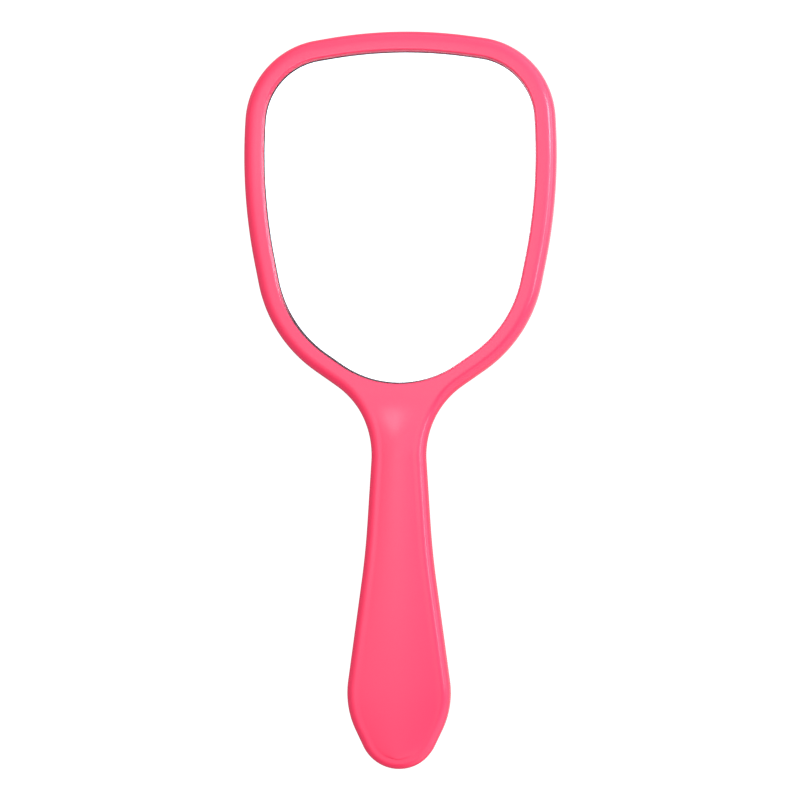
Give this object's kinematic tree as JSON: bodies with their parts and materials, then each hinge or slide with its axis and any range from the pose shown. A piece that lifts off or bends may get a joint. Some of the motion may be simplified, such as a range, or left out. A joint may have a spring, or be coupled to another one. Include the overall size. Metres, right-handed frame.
{
  "type": "hand mirror",
  "caption": "Salon hand mirror: a rounded-shield mirror held behind the bezel of a two-part moulded body that runs through a narrow neck into a flared paddle grip.",
  "frame": {"origin": "middle of the body's length and width, on the flat back that it lies on", "axes": "+Z the way the glass faces, +Y from the grip's tip to the top of the head, +X to the viewer's right"},
  "size_m": [0.115, 0.27, 0.0119],
  "materials": {
    "pink_shell": "moulded coral-pink plastic, smooth satin gloss",
    "clear_glass": "clear float glass with a faint green edge",
    "silver": "silvered reflective layer",
    "grey_paint": "matt grey protective paint",
    "black_foam": "closed-cell foam, fine pores",
    "white_tape": "double-sided tissue tape"
  },
  "bodies": {
    "root": {"front_shell": "pink_shell", "rear_shell": "pink_shell", "mirror_glass": "clear_glass", "silver_coating": "silver", "backing_paint": "grey_paint", "foam_pad": "black_foam", "tape_strips": "white_tape"}
  },
  "joints": []
}
